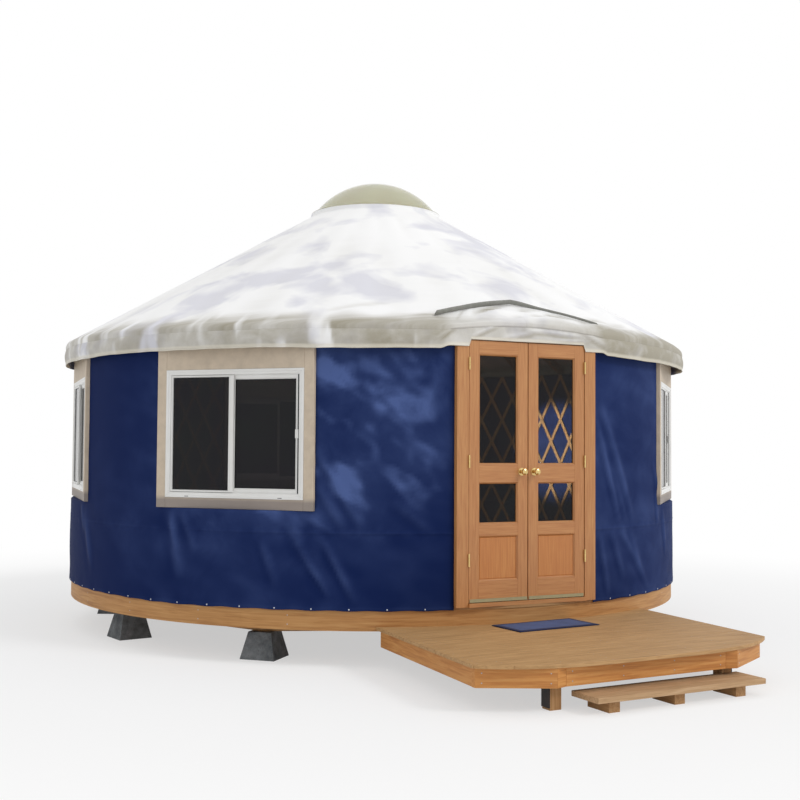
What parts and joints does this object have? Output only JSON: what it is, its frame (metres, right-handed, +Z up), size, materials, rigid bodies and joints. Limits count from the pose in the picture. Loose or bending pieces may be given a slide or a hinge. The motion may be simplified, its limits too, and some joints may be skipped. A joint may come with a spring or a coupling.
{
  "type": "yurt",
  "caption": "Round fabric yurt with lattice walls, clear dome, sliding windows and double doors, on a raised timber platform with a porch.",
  "frame": {"origin": "on level ground under the middle of the house, at the foot of the middle pier block", "axes": "+Z up; -Y out through the doorway; +X to the right of someone facing the doorway from outside"},
  "size_m": [6.1196, 7.8214, 4.4333],
  "materials": {
    "concrete": "cast concrete",
    "framing": "sawn softwood",
    "deck_wood": "weathered deck boards",
    "rim_wood": "stained softwood",
    "door_wood": "clear-finished fir",
    "lattice_wood": "planed fir slats",
    "wall_fabric": "coated woven wall cloth",
    "roof_fabric": "coated white roof cloth",
    "eave_fabric": "coated grey-beige cloth",
    "trim": "tan painted boards",
    "window_vinyl": "white extruded vinyl",
    "glass": "clear float glass",
    "dome_plastic": "clear acrylic",
    "brass": "polished brass",
    "dark_metal": "dark painted steel",
    "steel": "galvanised steel rope",
    "sweep": "olive rubbery strip",
    "mat": "woven blue mat",
    "diverter": "grey coated strip"
  },
  "bodies": {
    "root": {"back_left_cover": "wall_fabric", "back_right_cover": "wall_fabric", "centre_ring": "framing", "dome_rim": "framing", "door_flap": "roof_fabric", "door_frame_hinges": "brass", "door_head": "door_wood", "door_jambs": "door_wood", "door_mat": "mat", "door_sill": "door_wood", "fascia_band": "rim_wood", "floor_beams": "framing", "floor_deck": "framing", "floor_joists": "framing", "front_left_cover": "wall_fabric", "front_right_cover": "wall_fabric", "lattice_inner_slats": "lattice_wood", "lattice_outer_slats": "lattice_wood", "pier_blocks": "concrete", "porch_deck": "deck_wood", "porch_joists": "framing", "porch_posts": "framing", "porch_rim": "rim_wood", "post_brackets": "dark_metal", "rafters": "framing", "rain_diverter": "diverter", "rear_left_cover": "wall_fabric", "rear_right_cover": "wall_fabric", "roof_cover": "roof_fabric", "roof_valance": "eave_fabric", "side_left_cover": "wall_fabric", "side_right_cover": "wall_fabric", "skylight_dome": "dome_plastic", "step_board": "deck_wood", "step_supports": "framing", "top_cable": "steel", "under_window_covers": "wall_fabric", "window_frames": "window_vinyl", "window_glass": "glass", "window_sashes": "window_vinyl", "window_surrounds": "trim"},
    "left_door": {"left_door": "door_wood", "left_door_hinges": "brass", "left_door_knobs": "brass", "left_door_panel": "door_wood", "left_door_panes": "glass", "left_door_sweep": "sweep"},
    "right_door": {"right_door": "door_wood", "right_door_hinges": "brass", "right_door_knobs": "brass", "right_door_panel": "door_wood", "right_door_panes": "glass", "right_door_sweep": "sweep"}
  },
  "joints": [
    {"name": "left_door_hinge", "type": "hinge", "parent": "root", "child": "left_door", "pos_m": [-0.5445, -2.978, 1.5], "axis": [0, 0, -1], "range_deg": [0, 105]},
    {"name": "right_door_hinge", "type": "hinge", "parent": "root", "child": "right_door", "pos_m": [0.5445, -2.978, 1.5], "axis": [0, 0, 1], "range_deg": [0, 105]}
  ]
}
